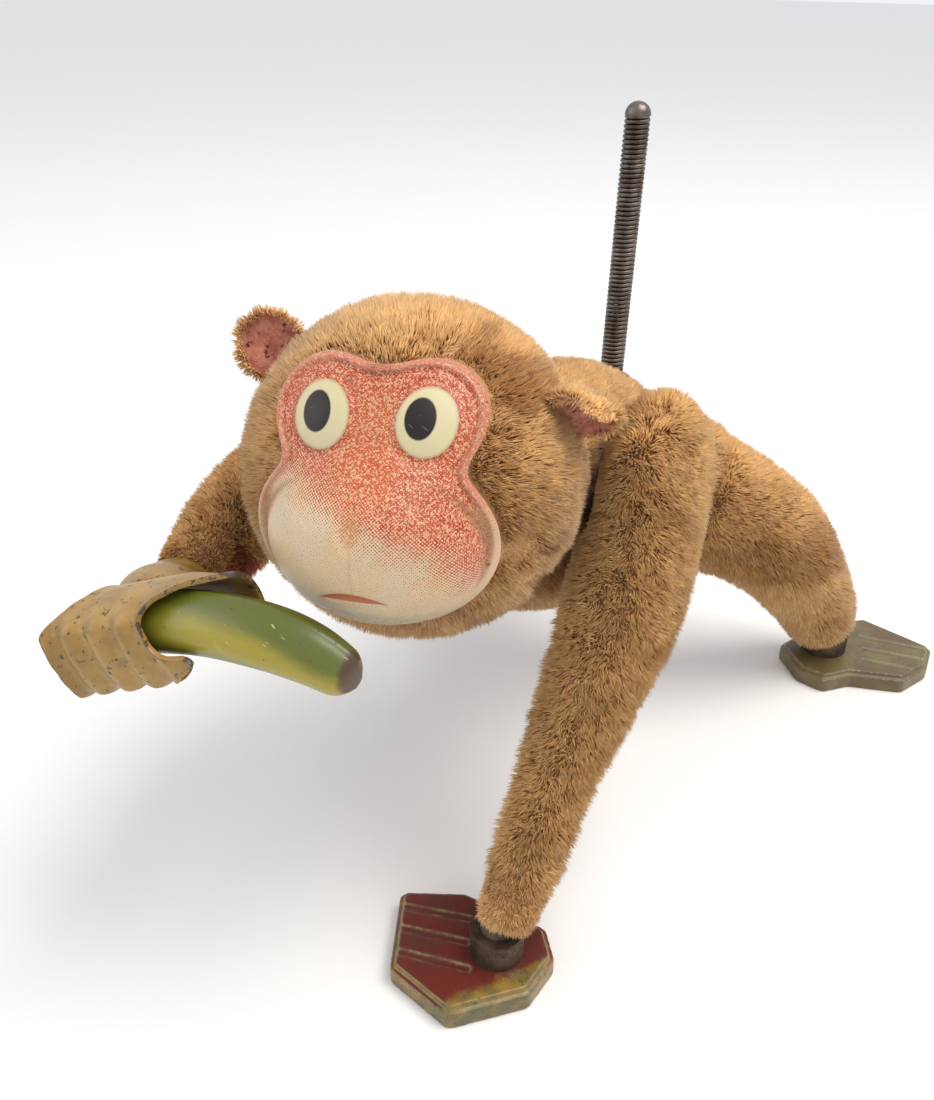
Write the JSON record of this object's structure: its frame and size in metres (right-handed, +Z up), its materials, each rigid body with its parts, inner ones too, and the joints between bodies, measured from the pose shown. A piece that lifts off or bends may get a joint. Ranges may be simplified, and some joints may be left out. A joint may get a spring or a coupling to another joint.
{
  "type": "clockwork plush and tin monkey",
  "caption": "Clockwork plush-and-tin monkey that crawls on all fours, lifts a banana to its mouth and has a coil spring tail.",
  "frame": {"origin": "on the floor, in the middle of the part's box", "axes": "the monkey faces -Y, its left side is +X, +Z is up"},
  "size_m": [0.1526, 0.181, 0.1358],
  "materials": {
    "plush": "short golden tan mohair pile, worn at the edges",
    "felt": "worn dusty red felt",
    "face_litho": "lithographed tin, orange red stipple fading to cream, two round eyes",
    "paw_paint": "maroon and olive gold paint, worn",
    "foot_paint": "olive brown gold paint, worn",
    "hand_paint": "golden tan paint with dark chips",
    "banana_paint": "green and yellow paint with brown edges",
    "spring_steel": "dull grey spring steel wire",
    "brass": "plain brass",
    "dark_steel": "darkened steel",
    "bare_tin": "bare tinplate"
  },
  "bodies": {
    "body": {"torso_shell_left": "bare_tin", "torso_shell_right": "bare_tin", "torso_plush": "plush", "neck_stud": "bare_tin", "neck_clip": "bare_tin", "tail_socket": "bare_tin", "motor_plate_left": "bare_tin", "motor_plate_right": "bare_tin", "motor_pillars": "bare_tin", "pillar_screws": "bare_tin", "mainspring": "spring_steel", "shoulder_shaft": "bare_tin", "hip_shaft": "bare_tin"},
    "head": {"head_shell_front": "bare_tin", "head_shell_back": "bare_tin", "head_plush": "plush", "face_plate": "face_litho", "ear_right": "plush", "ear_left": "plush", "ear_linings": "felt", "neck_collar": "bare_tin"},
    "left_arm": {"left_arm_hub": "bare_tin", "left_crank_rod": "bare_tin", "left_arm_core": "bare_tin", "left_arm_plush": "plush", "left_wrist_collar": "dark_steel", "left_paw_top": "paw_paint", "left_paw_base": "paw_paint"},
    "right_arm": {"right_arm_hub": "bare_tin", "right_crank_rod": "bare_tin", "right_arm_core": "bare_tin", "right_arm_plush": "plush", "right_hand_fingers": "hand_paint", "right_hand_palm": "hand_paint", "banana_front": "banana_paint", "banana_back": "banana_paint"},
    "left_leg": {"left_leg_core": "bare_tin", "left_leg_plush": "plush", "left_ankle_collar": "dark_steel", "left_foot_top": "foot_paint", "left_foot_base": "foot_paint"},
    "right_leg": {"right_leg_core": "bare_tin", "right_leg_plush": "plush", "right_ankle_collar": "dark_steel", "right_foot_top": "foot_paint", "right_foot_base": "foot_paint"},
    "tail": {"tail_stem": "bare_tin", "tail_spring": "spring_steel", "tail_cap": "spring_steel"},
    "winder": {"winding_key": "bare_tin", "winding_arbor": "bare_tin", "great_wheel": "brass", "ratchet_wheel": "brass", "click": "bare_tin"},
    "crank": {"crank_shaft": "brass", "second_wheel": "brass", "crank_discs": "bare_tin"},
    "fan": {"fan_shaft": "brass", "fan_blades": "bare_tin"}
  },
  "joints": [
    {"name": "head_turn", "type": "hinge", "parent": "body", "child": "head", "pos_m": [0, -0.04, 0.0894], "axis": [0, -0.6428, 0.766], "range_deg": [-15, 15]},
    {"name": "left_arm_swing", "type": "hinge", "parent": "body", "child": "left_arm", "pos_m": [0.03, -0.006, 0.079], "axis": [-1, 0, 0], "range_deg": [0, 12]},
    {"name": "right_arm_swing", "type": "hinge", "parent": "body", "child": "right_arm", "pos_m": [-0.03, -0.006, 0.079], "axis": [-1, 0, 0], "range_deg": [-12, 0]},
    {"name": "left_leg_swing", "type": "hinge", "parent": "body", "child": "left_leg", "pos_m": [0.022, 0.044, 0.054], "axis": [-1, 0, 0], "range_deg": [-4, 4]},
    {"name": "right_leg_swing", "type": "hinge", "parent": "body", "child": "right_leg", "pos_m": [-0.022, 0.044, 0.054], "axis": [-1, 0, 0], "range_deg": [-4, 4]},
    {"name": "tail_flex", "type": "hinge", "parent": "body", "child": "tail", "pos_m": [0, 0.0408, 0.0775], "axis": [1, 0, 0], "range_deg": [-15, 15], "stiffness_Nm_per_rad": 0.02},
    {"name": "winder_spin", "type": "hinge", "parent": "body", "child": "winder", "pos_m": [0, 0.016, 0.062], "axis": [1, 0, 0], "continuous": true},
    {"name": "crank_spin", "type": "hinge", "parent": "body", "child": "crank", "pos_m": [0, 0.00447, 0.07167], "axis": [1, 0, 0], "continuous": true},
    {"name": "fan_spin", "type": "hinge", "parent": "body", "child": "fan", "pos_m": [0, -0.00732, 0.06738], "axis": [1, 0, 0], "continuous": true}
  ],
  "couplings": [
    {"joint": "right_arm_swing", "follows": "left_arm_swing", "ratio": -1},
    {"joint": "crank_spin", "follows": "winder_spin", "ratio": -4},
    {"joint": "fan_spin", "follows": "winder_spin", "ratio": 16}
  ]
}
